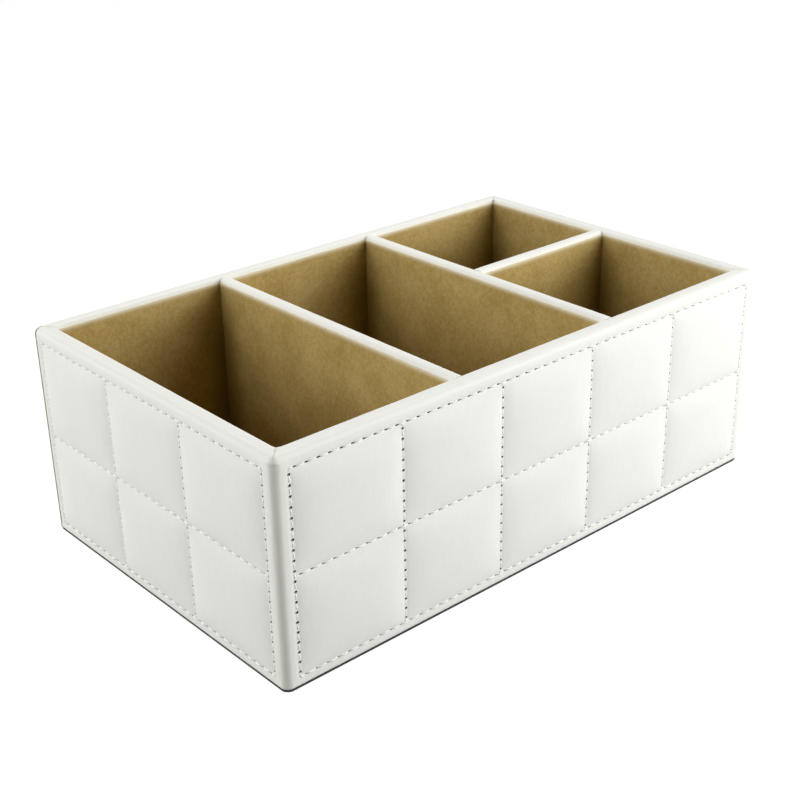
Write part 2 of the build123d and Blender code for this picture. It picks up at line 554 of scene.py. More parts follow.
@dataclass(frozen=True)
class VelvetFinish:
    """Short-napped velvet with a faint mottle and a soft sheen: painted shade in corners, painted highlight
    along its fold.
    """

    name: str = "tan_velvet"
    light: Colour = (0.540, 0.397, 0.152)
    shade: Colour = (0.399, 0.281, 0.085)
    # Painted highlight along the top fold
    fold: Colour = (0.82, 0.75, 0.56)
    fold_highlight_share: float = 0.8
    # Painted shade in the corners
    nook_shade: Colour = (0.20, 0.13, 0.02)
    nook_shade_share: float = 0.9
    sheen: float = 0.2
    sheen_tint: Colour = (0.95, 0.8, 0.42)
    sheen_roughness: float = 0.45
    roughness: float = 0.92
    specular: float = 0.15
    nap_size: float = 0.016
    streak_sizes: Triple = (0.0015, 0.0015, 0.0017)
    streak_detail: float = 4.0
    fuzz_size: float = 0.0005
    fuzz_detail: float = 2.0
    fuzz_depth: float = 0.0002
    fuzz_strength: float = 0.6
    mottle_range: Range = (1.22, 1.78)

    def material(self) -> bpy.types.Material:
        """Builds the material.

        Returns:
            The material.
        """
        graph = ShaderGraph(self.name)
        nap = graph.noise((self.nap_size,) * 3)
        streak = graph.noise(self.streak_sizes, self.streak_detail)
        fuzz = graph.noise((self.fuzz_size,) * 3, self.fuzz_detail)
        mottle = graph.span(graph.sum(graph.sum(nap, streak), fuzz), self.mottle_range, UNIT)
        colour = graph.blend(mottle, self.shade, self.light)
        # Painted shade in the corners
        colour = graph.blend(graph.trait("nook_shade", self.nook_shade_share), colour, self.nook_shade)
        # Painted highlight along the top fold
        colour = graph.blend(graph.trait("fold", self.fold_highlight_share), colour, self.fold)
        graph.set("Base Color", colour)
        graph.set("Roughness", self.roughness)
        graph.set("Specular IOR Level", self.specular)
        graph.set("Sheen Weight", self.sheen)
        graph.set("Sheen Roughness", self.sheen_roughness)
        graph.set("Sheen Tint", (*self.sheen_tint, 1.0))
        graph.relief(graph.sum(fuzz, streak), self.fuzz_depth, self.fuzz_strength)
        return graph.material


@dataclass(frozen=True)
class SpeckledFinish:
    """Matt material with fine speckles, for everything that is neither leatherette nor velvet."""

    name: str
    light: Colour
    shade: Colour
    speckle_sizes: Triple
    roughness: float
    depth: float = 0.00005
    strength: float = 0.4
    sheen: float = 0.0
    detail: float = 4.0

    def material(self) -> bpy.types.Material:
        """Builds the material.

        Returns:
            The material.
        """
        graph = ShaderGraph(self.name)
        speckle = graph.noise(self.speckle_sizes, self.detail)
        mottle = graph.span(speckle, NOISE_RANGE, UNIT)
        graph.set("Base Color", graph.blend(mottle, self.shade, self.light))
        graph.set("Roughness", self.roughness)
        graph.set("Sheen Weight", self.sheen)
        graph.relief(speckle, self.depth, self.strength)
        return graph.material


THREAD = SpeckledFinish("white_thread", (0.97, 0.97, 0.95), (0.88, 0.88, 0.85), (0.0002,) * 3, 0.55)
FOAM = SpeckledFinish("quilting_foam", (0.86, 0.83, 0.70), (0.72, 0.68, 0.54), (0.0008,) * 3, 0.9)
BOARD = SpeckledFinish("fibreboard", (0.50, 0.37, 0.24), (0.36, 0.26, 0.16), (0.0012, 0.0012, 0.0004), 0.85)
SHEET = SpeckledFinish(
    "charcoal_sheet",
    (0.03, 0.03, 0.032),
    (0.010, 0.010, 0.011),
    (0.0006,) * 3,
    0.9,
    depth=0.0001,
    strength=0.5,
    sheen=0.1,
)
CUT_EDGE = SpeckledFinish("cut_edge", (0.90, 0.86, 0.75), (0.80, 0.75, 0.63), (0.0004,) * 3, 0.9)
# Painted shade on the walls and bottoms of the needle holes
HOLE_SHADE = SpeckledFinish("needle_hole_shade", (0.30, 0.285, 0.25), (0.06, 0.055, 0.045), (0.006,) * 3, 0.95)


@dataclass(frozen=True)
class BoxPlan:
    """Main planes of the box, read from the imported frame.

    The border is the flat of the leatherette beside the outermost seams.
    """

    board_half: Array
    carcass_half: Array
    lined_half: Array
    wall_foot: float
    board_top: float
    lining_top: float
    hem: float
    rim: float
    border_foam: float = 0.0016
    corner_radius: float = 0.0032
    rim_radius: float = 0.0024
    turn_in: float = 0.012
    cap_leather: float = 0.0008

    @classmethod
    def from_frame(cls) -> "BoxPlan":
        """Reads the planes from the boxes of the CAD nodes.

        Returns:
            The plan of this box.
        """
        front_low, front_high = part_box("front_board")
        front_lining_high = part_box("front_lining")[1]
        wrap_low, wrap_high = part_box("leather_wrap")
        return cls(
            board_half=np.array((front_high.x, -front_low.y, 0.0)),
            carcass_half=np.array((-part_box("left_end_board")[1].x, -front_high.y, 0.0)),
            lined_half=np.array((-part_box("left_end_lining")[1].x, -front_lining_high.y, 0.0)),
            wall_foot=front_low.z,
            board_top=front_high.z,
            lining_top=front_lining_high.z,
            hem=wrap_low.z,
            rim=wrap_high.z,
        )

    @property
    def leather(self) -> float:
        """Thickness of the leatherette."""
        return self.rim - self.board_top

    @property
    def border_depth(self) -> float:
        """From the wall boards' outsides to the border."""
        return self.leather + self.border_foam

    @property
    def wall_depth(self) -> float:
        """From the border to the wall boards' insides."""
        return self.border_depth + float(self.board_half[0] - self.carcass_half[0])

    @property
    def turned_depth(self) -> float:
        """From the border to the leatherette that is turned in over the rim."""
        return self.wall_depth + self.leather

    @property
    def turned_foot(self) -> float:
        """Height of the turned-in edge."""
        return self.rim - self.turn_in

    @property
    def roll_foot(self) -> float:
        """Height where the leatherette starts to roll over the rim."""
        return self.rim - self.rim_radius

    def half(self, wall: Wall) -> float:
        """Half of a wall's length between the borders beside it."""
        return float(abs(wall.travel) @ self.board_half) + self.border_depth

    def flat_half(self, wall: Wall) -> float:
        """Half of a wall's length between its rounded corners."""
        return self.half(wall) - self.corner_radius

    def reach(self, wall: Wall) -> float:
        """From the middle of the box to a wall's border."""
        return float(abs(wall.outward) @ self.board_half) + self.border_depth

    def rim_share(self, level: Array) -> Array:
        """How much each level belongs to the rim: 0 under its roll and 1 on its top."""
        return smooth_step((level - self.roll_foot) / self.rim_radius)


@dataclass(frozen=True)
class QuiltLayout:
    """Where the seams and needle holes of the quilting lie on each wall."""

    plan: BoxPlan
    side_margin: float = 0.0064
    rim_margin: float = 0.0053
    foot_margin: float = 0.0038
    long_cells: int = 5
    short_cells: int = 3
    cell_rows: int = 2
    stitches_per_cell: int = 10
    level_hole: float = 0.0021
    level_hole_width: float = 0.0007
    upright_hole: float = 0.00115
    upright_hole_width: float = 0.00145
    shoulder: float = 0.0012
    edge_lines: tuple[float, ...] = (0.0, 0.0004, 0.0009)

    def cells(self, wall: Wall) -> int:
        """Number of cells along a wall."""
        return self.long_cells if wall.is_long else self.short_cells

    def uprights(self, wall: Wall) -> Array:
        """Places of the upright seams along a wall, from its middle."""
        end = self.plan.half(wall) - self.side_margin
        return np.linspace(-end, end, self.cells(wall) + 1)

    def levels(self) -> Array:
        """Heights of the level seams."""
        low = self.plan.hem + self.foot_margin
        return np.linspace(low, self.plan.rim - self.rim_margin, self.cell_rows + 1)

    def pitch(self, seams: Array) -> float:
        """Length of one stitch along seams that cross these ones."""
        return float(seams[1] - seams[0]) / self.stitches_per_cell

    def holes(self, seams: Array) -> Array:
        """Places of the needle holes along seams that cross these ones."""
        pitch = self.pitch(seams)
        return np.arange(seams[0] + pitch / 2, seams[-1], pitch)

    def mesh_lines(self, seams: Array, width: float, hole: float, low: float, high: float) -> Array:
        """Places of the mesh lines across one direction, close at each hole and seam.

        Args:
            seams: Seams that the lines run along.
            width: Width of the needle holes in them.
            hole: Length of the needle holes in the seams that cross these ones.
            low: First line.
            high: Last line.

        Returns:
            Places of the lines, in order.
        """
        holes = self.holes(seams)
        middles = (holes[1:] + holes[:-1]) / 2
        inside = np.abs(middles[:, None] - seams[None, :]).min(axis=1) > self.shoulder
        beside = np.array((-self.shoulder, -width / 2, width / 2, self.shoulder))
        edge = np.array(self.edge_lines)
        lines = (
            holes - hole / 2,
            holes + hole / 2,
            middles[inside],
            (seams[:, None] + beside[None, :]).ravel(),
            low + edge,
            high - edge,
        )
        return np.sort(np.concatenate(lines))


@dataclass
class PillowRelief:
    """Heights of the quilted leatherette over its border: pillows between seams, and troughs along them."""

    plan: BoxPlan
    layout: QuiltLayout
    crown: float = 0.0017
    fullness: float = 1.15
    cell_variation: float = 0.06
    grid_per_cell: int = 20
    sine_terms: int = 9
    cloth_scale: float = 10.0
    cloth_steps: int = 24
    cloth_pressure: float = 6.0
    cloth_stiffness: float = 15.0
    cloth_bending: float = 2.0
    cloth_mass: float = 0.15
    trough_depth: float = 0.00014
    trough_width: float = 0.0007
    shade_width: float = 0.0013
    dimple_depth: float = 0.0002
    border_lift: float = 0.0001
    uneven: Unevenness = Unevenness(0.00005, 0.022, 3.7)

    def __post_init__(self) -> None:
        """Works out the pillows of each wall."""
        self.waves: dict[Wall, Array] = {wall: self.pillow_waves(wall) for wall in Wall}

    def inflate(self, wall: Wall) -> Array:
        """Blows up a wall's leatherette between its pinned seams with a cloth simulation.

        Args:
            wall: The wall.

        Returns:
            Heights of the cloth's grid points, by column and row.
        """
        steps, uprights, levels = self.grid_per_cell, self.layout.uprights(wall), self.layout.levels()
        across, up = (len(uprights) - 1) * steps + 1, (len(levels) - 1) * steps + 1
        x = np.linspace(uprights[0], uprights[-1], across) * self.cloth_scale
        y = np.linspace(levels[0], levels[-1], up) * self.cloth_scale
        points = np.stack((*np.meshgrid(x, y, indexing="ij"), np.zeros((across, up))), axis=-1)
        draft = MeshDraft()
        numbers = draft.add(points)
        draft.grid(numbers)
        cloth = draft.piece("quilting_cloth", [])
        pinned = cloth.vertex_groups.new(name="seams")
        seams = np.concatenate((numbers[::steps].ravel(), numbers[:, ::steps].ravel()))
        pinned.add(np.unique(seams).tolist(), 1.0, "REPLACE")
        settings = cloth.modifiers.new("quilting", "CLOTH").settings
        settings.vertex_group_mass = pinned.name
        settings.mass = self.cloth_mass
        settings.tension_stiffness = self.cloth_stiffness
        settings.compression_stiffness = self.cloth_stiffness
        settings.bending_stiffness = self.cloth_bending
        settings.use_pressure = True
        settings.uniform_pressure_force = self.cloth_pressure
        settings.effector_weights.gravity = 0.0
        scene = bpy.context.scene
        for step in range(1, self.cloth_steps + 1):
            scene.frame_set(step)
        blown = cloth.evaluated_get(bpy.context.evaluated_depsgraph_get())
        heights = np.array([vertex.co.z for vertex in blown.data.vertices])
        scene.frame_set(1)
        bpy.data.objects.remove(cloth)
        LOG.info("%s cloth: highest %.4f, lowest %.4f", wall.title, heights.max(), heights.min())
        return np.abs(heights).reshape(across, up)

    def pillow_waves(self, wall: Wall) -> Array:
        """Turns a wall's pillows into sums of sine waves, one set for each cell.

        Args:
            wall: The wall.

        Returns:
            Sizes of the waves, by cell, row of cells, wave along and wave upward.
        """
        heights = self.inflate(wall)
        heights = heights / heights.max()
        cells, rows, steps = self.layout.cells(wall), self.layout.cell_rows, self.grid_per_cell
        angles = np.outer(np.arange(1, self.sine_terms + 1), np.arange(steps + 1)) * np.pi / steps
        sines = np.sin(angles) * 2 / steps
        chance = np.random.default_rng(list(Wall).index(wall))
        waves = np.zeros((cells, rows, self.sine_terms, self.sine_terms))
        for cell in range(cells):
            for row in range(rows):
                part = heights[cell * steps : (cell + 1) * steps + 1, row * steps : (row + 1) * steps + 1]
                waves[cell, row] = sines @ part @ sines.T * (1 + chance.uniform(-1, 1) * self.cell_variation)
        return waves

    def pillows(self, wall: Wall, places: Array, levels: Array) -> Array:
        """Heights of a wall's pillows alone.

        Args:
            wall: The wall.
            places: Places along it, from its middle.
            levels: Heights over the floor.

        Returns:
            Heights by level and place.
        """
        uprights, seams = self.layout.uprights(wall), self.layout.levels()
        terms = np.arange(1, self.sine_terms + 1)
        heights = np.zeros((len(levels), len(places)))
        for cell in range(len(uprights) - 1):
            columns = np.flatnonzero((places > uprights[cell]) & (places < uprights[cell + 1]))
            along = (places[columns] - uprights[cell]) / (uprights[cell + 1] - uprights[cell])
            for row in range(len(seams) - 1):
                rows = np.flatnonzero((levels > seams[row]) & (levels < seams[row + 1]))
                upward = (levels[rows] - seams[row]) / (seams[row + 1] - seams[row])
                rise = np.sin(np.pi * np.outer(upward, terms))
                run = np.sin(np.pi * np.outer(terms, along))
                heights[np.ix_(rows, columns)] = rise @ self.waves[wall][cell, row].T @ run
        return self.crown * np.tanh(self.fullness * heights) / np.tanh(self.fullness)

    def seam_share(
        self, wall: Wall, places: Array, levels: Array, width: float, dimple: float = 0.0
    ) -> Array:
        """How much each point belongs to a seam.

        Args:
            wall: The wall.
            places: Places along it, from its middle.
            levels: Heights over the floor.
            width: Half width of the seam's dent.
            dimple: How much more of the dent there is at each needle hole.

        Returns:
            Shares by level and place, 1 in the middle of a seam.
        """
        uprights, seams = self.layout.uprights(wall), self.layout.levels()

        def seam_dent(values: Array, lines: Array) -> Array:
            """Dent across one set of seams."""
            return dent(np.abs(values[:, None] - lines[None, :]).min(axis=1), width)

        def reached(values: Array, lines: Array) -> Array:
            """Whether values lie between the first and the last seam, with soft ends."""
            beyond = np.maximum(lines[0] - values, values - lines[-1])
            return 1.0 - smooth_step(beyond / self.shade_width)

        def dimpled(values: Array, lines: Array) -> Array:
            """Deepening towards the needle holes along a seam."""
            turns = (values - lines[0]) / self.layout.pitch(lines) - 0.5
            return 1.0 + dimple * (0.5 + 0.5 * np.cos(2 * np.pi * turns))

        upright = np.outer(reached(levels, seams) * dimpled(levels, seams), seam_dent(places, uprights))
        level = np.outer(seam_dent(levels, seams), reached(places, uprights) * dimpled(places, uprights))
        return np.maximum(upright, level)

    def border(self, wall: Wall, places: Array, levels: Array) -> Array:
        """Heights of the soft roll between the outermost seams and the edges.

        Args:
            wall: The wall.
            places: Places along it, from its middle.
            levels: Heights over the floor.

        Returns:
            Heights by level and place.
        """
        uprights, seams = self.layout.uprights(wall), self.layout.levels()
        side = (np.abs(places) - uprights[-1]) / (self.plan.flat_half(wall) - uprights[-1])
        above = (levels - seams[-1]) / (self.plan.roll_foot - seams[-1])
        below = (seams[0] - levels) / (seams[0] - self.plan.hem)
        ridge = np.sin(np.pi * np.clip(np.maximum(above, below), 0, 1))[:, None]
        flank = np.sin(np.pi * np.clip(side, 0, 1))[None, :]
        return self.border_lift * np.maximum(ridge, flank)

    def panel(self, wall: Wall, places: Array, levels: Array) -> Array:
        """Heights of the leatherette on a wall, without its needle holes.

        Args:
            wall: The wall.
            places: Places along it, from its middle.
            levels: Heights over the floor.

        Returns:
            Heights over the border, by level and place.
        """
        dimple = self.dimple_depth / self.trough_depth
        trough = self.trough_depth * self.seam_share(wall, places, levels, self.trough_width, dimple)
        spots = np.zeros((len(levels), len(places), 3))
        spots += wall.outward * self.plan.reach(wall) + places[None, :, None] * wall.travel
        spots += levels[:, None, None] * UP
        quilt = self.pillows(wall, places, levels) - trough + self.border(wall, places, levels)
        return quilt + self.uneven.at(spots)


@dataclass(frozen=True)
class Profile:
    """Rows of the leatherette across its length.

    Each row has its depth behind the border and its level, and faces inward by its lean and up by its rise.
    """

    depth: Array
    level: Array
    lean: Array
    rise: Array

    @property
    def face(self) -> Array:
        """Numbers of the rows on the outside of the walls."""
        return np.flatnonzero(self.lean == -1.0)


def edge_rows(depth: float, level: float, radius: float, angles: Array) -> list[tuple[float, ...]]:
    """Gives the rows of the leatherette round an edge.

    Args:
        depth: Depth of the centre of its bend behind the border.
        level: Height of the centre.
        radius: Radius of the bend.
        angles: Angle of each row, from facing inward over facing up.

    Returns:
        Depth, level, lean and rise of each row.
    """
    spots = arc(depth, level, radius, angles)
    return [(*spot, math.cos(angle), math.sin(angle)) for spot, angle in zip(spots, angles)]


@dataclass(frozen=True)
class Column:
    """One column of the leatherette: on a wall, or in the corner after it."""

    wall: Wall
    place: float
    turn: float | None = None


@dataclass
class LeatherWrap:
    """The quilted strip round the walls, turned over the rim and under the foot, with its needle holes."""

    plan: BoxPlan
    layout: QuiltLayout
    relief: PillowRelief
    finish: LeatherFinish
    rim_inner_radius: float = 0.0011
    hem_radius: float = 0.0007
    inside_rows: int = 5
    inner_edge_rows: int = 5
    top_rows: int = 6
    roll_rows: int = 9
    hem_rows: int = 4
    foot_rows: int = 4
    back_lines: tuple[float, ...] = (-0.0022, -0.0003, 0.0003, 0.0022)
    corner_turns: tuple[float, ...] = (0.12, 0.25, 0.38, 0.46, 0.5, 0.54, 0.62, 0.75, 0.88)
    seam_gap: float = 0.0003
    lap_lift: float = 0.0003
    mitre_depth: float = 0.00013
    mitre_width: float = 0.0003
    mitre_tail: float = 0.004
    wrinkle_height: float = 0.00012
    wrinkle_length: float = 0.0023
    wrinkle_reach: float = 0.004
    wrinkle_turn: float = 0.3
    # Painted shade on the rounded corners
    corner_band_shade: float = 0.5
    corner_rub: float = 0.3
    # Share of the paler tone over the rim's top, for wear and painted highlight
    rim_rub_and_highlight: float = 0.6
    rim_crown: float = 0.00005
    rim_uneven: Unevenness = Unevenness(0.00008, 0.016, 8.1)
    hole_depth: float = 0.0006
    hole_share: float = 0.47
    end_hole_share: float = 0.31
    hole_fade: float = 0.45
    far_fade: float = 0.5
    foot_hole_share: float = 0.3
    hole_narrowing: float = 0.8
    inner_fillet: float = 0.0028
    hole_sides: int = 8
    fill: float = 0.7

    def face_levels(self) -> Array:
        """Places the rows on the outside of the walls.

        Returns:
            Their heights, from the rim down.
        """
        low, high = self.plan.hem + self.hem_radius, self.plan.roll_foot
        layout = self.layout
        lines = layout.mesh_lines(layout.levels(), layout.level_hole_width, layout.upright_hole, low, high)
        return lines[::-1]

    def wall_places(self, wall: Wall) -> Array:
        """Places the columns along a wall.

        Args:
            wall: The wall.

        Returns:
            Their places from the wall's middle, in order.
        """
        end = self.plan.flat_half(wall)
        layout, seams = self.layout, self.layout.uprights(wall)
        return layout.mesh_lines(seams, layout.upright_hole_width, layout.level_hole, -end, end)

    def columns(self) -> list[Column]:
        """Lists the columns round the box.

        Returns:
            Columns from the seam at the back left corner, round the box and back to it.
        """
        made = []
        for wall in Wall:
            made += [Column(wall, place) for place in self.wall_places(wall)]
            made += [Column(wall, 0.0, turn) for turn in self.corner_turns]
        first = made[0]
        made[0] = Column(first.wall, first.place + self.seam_gap)
        return made + [Column(Wall.BACK, 0.0, 1.0)]

    def skin_profile(self) -> Profile:
        """Works out the visible side.

        Returns:
            Its rows, from the turned-in edge over the rim to under the foot.
        """
        plan, edge, hem = self.plan, self.rim_inner_radius, self.hem_radius
        inner, roll = plan.turned_depth, plan.rim_radius
        inside = np.linspace(plan.turned_foot, plan.rim - edge, self.inside_rows)
        inner_edge = np.linspace(0.0, QUARTER_TURN, self.inner_edge_rows)[1:]
        top = np.linspace(inner - edge, roll, self.top_rows)[1:-1]
        outer_edge = np.linspace(QUARTER_TURN, 2 * QUARTER_TURN, self.roll_rows)[:-1]
        hem_edge = np.linspace(2 * QUARTER_TURN, 3 * QUARTER_TURN, self.hem_rows)[1:]
        under = np.linspace(hem, plan.wall_depth, self.foot_rows)[1:]
        rows: list[tuple[float, ...]] = [(inner, level, 1.0, 0.0) for level in inside]
        rows += edge_rows(inner - edge, plan.rim - edge, edge, inner_edge)
        rows += [(depth, plan.rim, 0.0, 1.0) for depth in top]
        rows += edge_rows(roll, plan.roll_foot, roll, outer_edge)
        rows += [(0.0, level, -1.0, 0.0) for level in self.face_levels()]
        rows += edge_rows(hem, plan.hem + hem, hem, hem_edge)
        rows += [(depth, plan.hem, 0.0, -1.0) for depth in under]
        return Profile(*np.array(rows).T)

    def back_profile(self) -> Profile:
        """Works out the hidden side.

        Returns:
            Its rows, from under the foot back to the turned-in edge.
        """
        leather, deep = self.plan.leather, self.plan.wall_depth
        foot, top = self.plan.wall_foot, self.plan.board_top
        seams = self.layout.levels()
        beside = (seams[:, None] + np.array(self.back_lines)).ravel()
        levels = np.sort(np.concatenate((beside, (seams[1:] + seams[:-1]) / 2)))
        under = ((deep, foot), (2 * leather, foot), (leather, foot + leather / 2))
        over = ((self.plan.border_depth, top), (deep, top), (deep, self.plan.turned_foot))
        rows = [(*spot, 0.0, 0.0) for spot in under]
        rows += [(leather, level, -1.0, 0.0) for level in levels]
        rows += [(*spot, 0.0, 0.0) for spot in over]
        return Profile(*np.array(rows).T)

    def footprint(self, column: Column, depth: Array, level: Array) -> Array:
        """Places of a column seen from above.

        Args:
            column: The column.
            depth: Depths behind the border.
            level: Heights over the floor.

        Returns:
            Points at level 0, one for each depth.
        """
        wall = column.wall
        reach, radius = self.plan.reach(wall), self.bend(depth, level)
        straight = self.plan.half(wall) - depth - radius
        if column.turn is None:
            share = column.place / self.plan.flat_half(wall)
            return np.outer(reach - depth, wall.outward) + np.outer(share * straight, wall.travel)
        angle = column.turn * QUARTER_TURN
        facing = math.cos(angle) * wall.outward + math.sin(angle) * wall.following.outward
        centre = np.outer(reach - depth - radius, wall.outward) + np.outer(straight, wall.travel)
        return centre + np.outer(radius, facing)

    def bend(self, depth: Array, level: Array) -> Array:
        """Radius of the bend round a corner: a fold outside, and a soft fillet at the rim's inner edge.

        Args:
            depth: Depths behind the border.
            level: Heights over the floor.

        Returns:
            One radius for each depth.
        """
        fold = self.plan.corner_radius
        inside = smooth_step((depth - fold) / (self.plan.turned_depth - fold))
        above = smooth_step((level - self.plan.lining_top) / (self.plan.rim - self.plan.lining_top))
        return np.maximum(fold - depth, self.inner_fillet * inside * above)

    def mitre(self, column: Column, profile: Profile) -> Array:
        """How far the corner's mitre presses each row of a column in.

        Args:
            column: The column.
            profile: Rows of the visible side.

        Returns:
            One depth for each row.
        """
        depth, wall = profile.depth, column.wall
        bend = self.bend(depth, profile.level)
        if column.turn is None:
            end = self.plan.half(wall) - depth - bend
            away = end - np.abs(column.place) * end / self.plan.flat_half(wall) + bend * QUARTER_TURN / 2
            pressed = np.where(depth > self.plan.corner_radius, dent(away, self.mitre_width), 0.0)
        else:
            pressed = dent((column.turn - 0.5) * QUARTER_TURN * bend, self.mitre_width)
        tail_foot = self.plan.roll_foot - self.mitre_tail
        return self.mitre_depth * pressed * smooth_step((profile.level - tail_foot) / self.mitre_tail)

    def swell(self, columns: list[Column], profile: Profile) -> Array:
        """How far each point of a side of the leatherette stands out of its plain profile.

        Args:
            columns: The columns.
            profile: Rows of that side.

        Returns:
            Heights by row and column.
        """
        heights = np.zeros((len(profile.depth), len(columns)))
        face = profile.face
        walls = [column.wall if column.turn is None else None for column in columns]
        for wall in Wall:
            chosen = np.array([number for number, owner in enumerate(walls) if owner is wall])
            places = np.array([columns[number].place for number in chosen])
            heights[np.ix_(face, chosen)] = self.relief.panel(wall, places, profile.level[face])
        return heights

    def trim(self, column: Column, profile: Profile, heights: Array) -> Array:
        """Adds the rim's softness, the mitres, the wrinkles under them and the lap of the closing seam.

        Args:
            column: The column.
            profile: Rows of the visible side.
            heights: The column's heights so far.

        Returns:
            Its finished heights.
        """
        plan, level = self.plan, profile.level
        rim_share = plan.rim_share(level)
        spots = self.footprint(column, profile.depth, level) + np.outer(level, UP)
        across = (profile.depth - plan.rim_radius) / (plan.wall_depth - plan.rim_radius)
        crown = self.rim_crown * np.sin(np.pi * np.clip(across, 0.0, 1.0))
        done = heights + rim_share * (self.rim_uneven.at(spots) + crown) - self.mitre(column, profile)
        if column.turn is None:
            return done
        over = level - plan.roll_foot
        fading = dent(np.minimum(over, 0.0), self.wrinkle_reach) * (1.0 - rim_share)
        middle = dent(np.array(column.turn - 0.5), self.wrinkle_turn)
        done += self.wrinkle_height * np.sin(2 * np.pi * over / self.wrinkle_length) * fading * middle
        if column.wall is Wall.BACK:
            done += self.lap_lift * column.turn**2 * (profile.depth < plan.corner_radius)
        return done

    def points(self, columns: list[Column], profile: Profile, heights: Array) -> Array:
        """Places of one side's points.

        Args:
            columns: The columns.
            profile: Rows of that side.
            heights: How far each point stands out, by row and column.

        Returns:
            Points by row and column.
        """
        made = []
        for number, column in enumerate(columns):
            depth = profile.depth + heights[:, number] * profile.lean
            level = profile.level + heights[:, number] * profile.rise
            made.append(self.footprint(column, depth, level) + np.outer(level, UP))
        return np.stack(made, axis=1)

    def opening(self, wall: Wall, place: float, height: float) -> float:
        """How much of its quad a needle hole takes.

        The holes, which carry painted shade, open widest round the front left corner and narrow away from it.

        Args:
            wall: Wall that the hole is in.
            place: Its place along the wall, from the middle.
            height: Height of its level seam, or of the rim for an upright seam.

        Returns:
            Share of the quad to each side of its middle.
        """
        if height < self.layout.levels()[0] + self.layout.shoulder:
            return self.foot_hole_share
        half = self.plan.half(wall)
        away = {Wall.LEFT_END: half - place, Wall.FRONT: half + place}.get(wall, half)
        far = smooth_step(np.array(away / (2 * half)))
        low = 1 - height / self.plan.rim
        widest = self.hole_share if wall.is_long else self.end_hole_share
        return float(widest * (1 - self.hole_fade * low) * (1 - self.far_fade * far))

    def pierced(self, columns: list[Column], first_row: int) -> list[tuple[int, int, float]]:
        """Finds the quads that hold a needle hole.

        Args:
            columns: The columns.
            first_row: Row of the skin where the outside starts.

        Returns:
            Row and column of each quad, and how much of it the hole takes.
        """
        quads = []
        rows = self.face_levels()
        seams = self.layout.levels()
        high, wide = self.layout.level_hole_width / 2, self.layout.upright_hole_width / 2

        def nearest(values: Array, target: float) -> int:
            """Number of the value that is closest to a target."""
            return int(np.abs(values - target).argmin())

        for wall in Wall:
            start = next(number for number, column in enumerate(columns) if column.wall is wall)
            places, uprights = self.wall_places(wall), self.layout.uprights(wall)
            for hole in self.layout.holes(uprights):
                column = start + nearest(places, hole - self.layout.level_hole / 2)
                for seam in seams:
                    row = first_row + nearest(rows, seam + high)
                    quads.append((row, column, self.opening(wall, hole, seam)))
            for hole in self.layout.holes(seams):
                row = first_row + nearest(rows, hole + self.layout.upright_hole / 2)
                for upright in uprights:
                    column = start + nearest(places, upright - wide)
                    quads.append((row, column, self.opening(wall, upright, self.plan.rim)))
        return quads

    def pierce(self, draft: MeshDraft, corners: Array, outline: Array, inward: Array, share: float) -> None:
        """Opens a needle hole in one quad.

        Args:
            draft: The leatherette so far.
            corners: Numbers of the quad's corners, in order.
            outline: Places of the corners.
            inward: Direction that the needle went.
            share: How much of the quad the hole takes, to each side of its middle.
        """
        sides = self.hole_sides
        angles = (np.arange(sides) + 0.5) * 2 * np.pi / sides
        along = (0.5 + share * np.cos(angles))[:, None]
        down = (0.5 + share * np.sin(angles))[:, None]
        near = (1 - along) * (1 - down) * outline[0] + along * (1 - down) * outline[1]
        ring = near + along * down * outline[2] + (1 - along) * down * outline[3]
        middle = ring.mean(axis=0)
        bottom = middle + (ring - middle) * self.hole_narrowing + inward * self.hole_depth
        upper, lower = draft.add(ring), draft.add(bottom)
        # Two points of the ring face each corner of the quad
        for corner in range(4):
            following = (corner + 1) % 4
            before = (sides // 2 + 2 * corner) % sides
            after = before + 1
            draft.face((corners[corner], corners[following], upper[(after + 1) % sides], upper[after]))
            draft.face((corners[corner], upper[after], upper[before]))
        # The hole's walls and bottom carry painted shade
        closed = np.stack((np.append(upper, upper[0]), np.append(lower, lower[0])))
        draft.grid(closed, Look.HOLE_SHADE)
        draft.face(lower, Look.HOLE_SHADE)

    def traits(self, columns: list[Column], profile: Profile) -> dict[str, Array]:
        """Where the visible side has painted shade in its seams and corners, and a paler tone for wear and
        painted highlight.

        Args:
            columns: The columns.
            profile: Rows of the visible side.

        Returns:
            Values by name, each by row and column.
        """
        seam, rub_and_highlight, corner_shade = np.zeros((3, len(profile.depth), len(columns)))
        face, rim = profile.face, self.plan.rim_share(profile.level)
        levels, width = profile.level[face], self.relief.shade_width
        for number, column in enumerate(columns):
            # Paler tone: painted highlight on the rim's inner side, wear and painted highlight over its top,
            # wear at the corners
            rub_and_highlight[:, number] = np.where(profile.lean > 0, 1.0, rim * self.rim_rub_and_highlight)
            if column.turn is None:
                place = np.array([column.place])
                # Painted shade in the seam troughs
                seam[face, number] = self.relief.seam_share(column.wall, place, levels, width)[:, 0]
            else:
                bent = math.sin(math.pi * column.turn)
                rub_and_highlight[face, number] = bent * self.corner_rub
                # Painted shade along the mitre and round the corner
                corner_shade[:, number] = rim * self.mitre(column, profile) / self.mitre_depth
                corner_shade[face, number] += bent * self.corner_band_shade
        return {"seam": seam, "rub_and_highlight": rub_and_highlight, "corner_shade": corner_shade}

